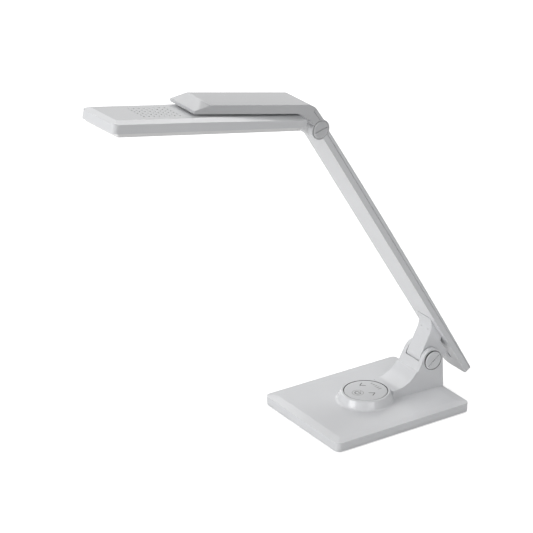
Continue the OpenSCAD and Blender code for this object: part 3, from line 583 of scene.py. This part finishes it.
def line(*corners, step=0.6):
    """Points along straight strokes between corners, close enough for square joints."""
    parts = [np.linspace(a, b, max(2, int(np.hypot(*(np.subtract(b, a))) / step)), endpoint=False)
             for a, b in zip(corners[:-1], corners[1:])]
    return np.concatenate(parts + [np.array([corners[-1]], float)])


print("ribbon, arc and line ready")

# %% [markdown]
# The places are in millimetres on the disc. The reader of the keys sits in front of the
# lamp, at -X, so +X is up on every sign.

# %% Print the keys
DISC_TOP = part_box("touch_disc")[1].z / MM
INK_LOW = DISC_TOP - 0.04
INK_HIGH = DISC_TOP + 0.03
POWER = (-12.8, -0.1)
BRIGHTER = ((-2.8, -6.8), (3.0, -10.6), (-2.8, -14.6))
DARKER = ((5.0, 17.4), (-0.6, 13.3), (5.0, 9.4))
BARS_X = 13.6
BARS_Y = np.linspace(10.2, -5.4, 5)
BAR_HALF = 1.1
BAR_GROWTH = 0.28
POWER_STROKE = 0.95
ARROW_STROKE = 1.0
BAR_STROKE = 1.3
RING_STROKE = 0.55

ink = finish("grey_key_ink", rgba(0.27), rgba(0.38), (0.45, 0.6), 0.5, 0.01, 0.1)
pale_ink = finish("pale_ring_ink", rgba(0.52), rgba(0.64), (0.4, 0.55), 0.5, 0.01, 0.1)


def print_key(name, path, width, material):
    """One inked sign: a ribbon just proud of the disc."""
    points, faces = ribbon(path, width, INK_LOW, INK_HIGH)
    return put_mesh(name, points * MM, faces, material, "base")


print_key("key_power_arc", arc(POWER, 3.3, 40, 320), POWER_STROKE, ink)
print_key("key_power_bar", line((POWER[0] + 0.8, POWER[1]), (POWER[0] + 4.4, POWER[1])), POWER_STROKE, ink)
print_key("key_power_ring", arc(POWER, 6.3, 0, 359.9, 96), RING_STROKE, pale_ink)
print_key("key_brighter", line(*BRIGHTER), ARROW_STROKE, ink)
print_key("key_darker", line(*DARKER), ARROW_STROKE, ink)
for index, y in enumerate(BARS_Y):
    half = BAR_HALF + BAR_GROWTH * index
    print_key(f"level_bar_{index}", line((BARS_X - half, y), (BARS_X + half, y)), BAR_STROKE, pale_ink)
print("keys printed at", round(DISC_TOP, 2), "mm")

# %% [markdown]
# The light is a bright studio of soft sources. The strongest stands low on the side that the
# lamp points to, so that upright faces on that side come out brightest, tops a little
# darker, and near sides darkest. One on the near side and one on the far side fill in. One
# high up behind the lamp is there to be mirrored: tops and bevels shine where they show it.
# Each is an entry in a table: its place, what it aims at, its size in metres, its power.

# %% Soft lights
SOFTBOXES = {
    "key_softbox": ((-2.75, 0.15, 1.10), (0.0, 0.0, 0.2), 1.6, 43.0),
    "near_softbox": ((-0.5, -2.9, 1.3), (0.0, 0.0, 0.2), 1.4, 18.0),
    "far_softbox": ((0.25, 2.6, 1.55), (0.0, 0.0, 0.15), 2.3, 19.0),
    "overhead_softbox": ((1.73, 0.41, 2.36), (-0.2, 0.0, 0.4), 1.15, 16.5),
}
SHOWN_WHITE = 1.0
SURROUND_LOW = 0.02
SURROUND_HIGH = 0.32
GRADIENT = (0.30, 0.60)
FLOOR_LIFT = 0.70
MIRRORED_LIFT = 0.36
FLOOR_GREY = 0.80
FLOOR_HALF = 6.0


def soft_light(name, place, aim, size, power):
    """A square soft source at place, turned so that it shines toward aim."""
    data = bpy.data.lights.new(name, "AREA")
    data.shape = "SQUARE"
    data.size = size
    data.energy = power
    obj = bpy.data.objects.new(name, data)
    obj.location = place
    obj.rotation_mode = "QUATERNION"
    obj.rotation_quaternion = (Vector(place) - Vector(aim)).to_track_quat("Z", "Y")
    bpy.context.scene.collection.objects.link(obj)
    return obj


for name, (place, aim, size, power) in SOFTBOXES.items():
    soft_light(name, place, aim, size, power)
print("softboxes:", {name: row[3] for name, row in SOFTBOXES.items()})

# %% [markdown]
# The surround has two strengths. Light that falls on the lamp comes from a gradient, weak
# near the horizon and stronger above. The camera, and anything that mirrors or passes light,
# sees plain white, as in a studio with white walls.

# %% White surround
def seen_ray(tree):
    """1 for a ray that shows the surround as it is: camera, glossy and transmission rays."""
    path = node(tree, "ShaderNodeLightPath")
    shown = math_node(tree, "MAXIMUM", path.outputs["Is Camera Ray"], path.outputs["Is Glossy Ray"])
    return math_node(tree, "MAXIMUM", shown, path.outputs["Is Transmission Ray"])


def build_world():
    """strength = SURROUND_LOW + (SURROUND_HIGH - SURROUND_LOW) * rise, or SHOWN_WHITE if seen,
    where rise goes from 0 to 1 as the height of the direction passes through GRADIENT."""
    world = bpy.data.worlds.new("studio_surround")
    world.use_nodes = True
    tree = world.node_tree
    glow = tree.nodes["Background"]
    glow.inputs["Color"].default_value = (1.0, 1.0, 1.0, 1.0)
    way = node(tree, "ShaderNodeSeparateXYZ")
    tree.links.new(node(tree, "ShaderNodeTexCoord").outputs["Generated"], way.inputs[0])
    rise = node(tree, "ShaderNodeMapRange", interpolation_type="SMOOTHSTEP")
    tree.links.new(way.outputs[2], rise.inputs["Value"])
    strengths = (SURROUND_LOW, SURROUND_HIGH)
    for socket, value in zip(("From Min", "From Max", "To Min", "To Max"), GRADIENT + strengths):
        rise.inputs[socket].default_value = value
    either = node(tree, "ShaderNodeMix", data_type="FLOAT")
    tree.links.new(seen_ray(tree), either.inputs[0])
    tree.links.new(rise.outputs["Result"], either.inputs[2])
    either.inputs[3].default_value = SHOWN_WHITE
    tree.links.new(either.outputs[0], glow.inputs["Strength"])
    bpy.context.scene.world = world
    return world


print("surround:", build_world().name, SURROUND_LOW, "to", SURROUND_HIGH)

# %% [markdown]
# The floor is one wide white sheet. To the lamp it is a plain matte white that bounces
# light up. To the camera it adds a glow, so that it reads as white paper, and the soft
# shadow of the base stays on it. A mirrored floor glows about half as much, so that the
# walls of the lamp that reflect it stay grey.

# %% Floor
def build_floor():
    """A flat grid z = 0 over a wide square, as a surface of two parameters."""
    across = np.linspace(-FLOOR_HALF, FLOOR_HALF, 5)
    u, v = np.meshgrid(across, across, indexing="ij")
    points = np.stack([u.ravel(), v.ravel(), np.zeros(u.size)], axis=1)
    index = np.arange(u.size).reshape(u.shape)
    quads = np.stack([index[:-1, :-1], index[1:, :-1], index[1:, 1:], index[:-1, 1:]], axis=-1)
    mesh = bpy.data.meshes.new("floor")
    mesh.from_pydata(points.tolist(), [], quads.reshape(-1, 4).tolist())
    obj = bpy.data.objects.new("floor", mesh)
    bpy.context.scene.collection.objects.link(obj)
    made = bpy.data.materials.new("floor_white")
    made.use_nodes = True
    tree = made.node_tree
    tree.nodes.remove(tree.nodes["Principled BSDF"])
    matte = node(tree, "ShaderNodeBsdfDiffuse")
    matte.inputs["Color"].default_value = (FLOOR_GREY, FLOOR_GREY, FLOOR_GREY, 1.0)
    glow = node(tree, "ShaderNodeEmission")
    path = node(tree, "ShaderNodeLightPath")
    straight = math_node(tree, "MULTIPLY", path.outputs["Is Camera Ray"], FLOOR_LIFT - MIRRORED_LIFT)
    lift = math_node(tree, "MULTIPLY", seen_ray(tree), MIRRORED_LIFT)
    lift = math_node(tree, "ADD", lift, straight)
    tree.links.new(lift, glow.inputs["Strength"])
    both = node(tree, "ShaderNodeAddShader")
    tree.links.new(matte.outputs[0], both.inputs[0])
    tree.links.new(glow.outputs[0], both.inputs[1])
    tree.links.new(both.outputs[0], tree.nodes["Material Output"].inputs["Surface"])
    mesh.materials.append(made)
    return obj


print("floor:", build_floor().name)
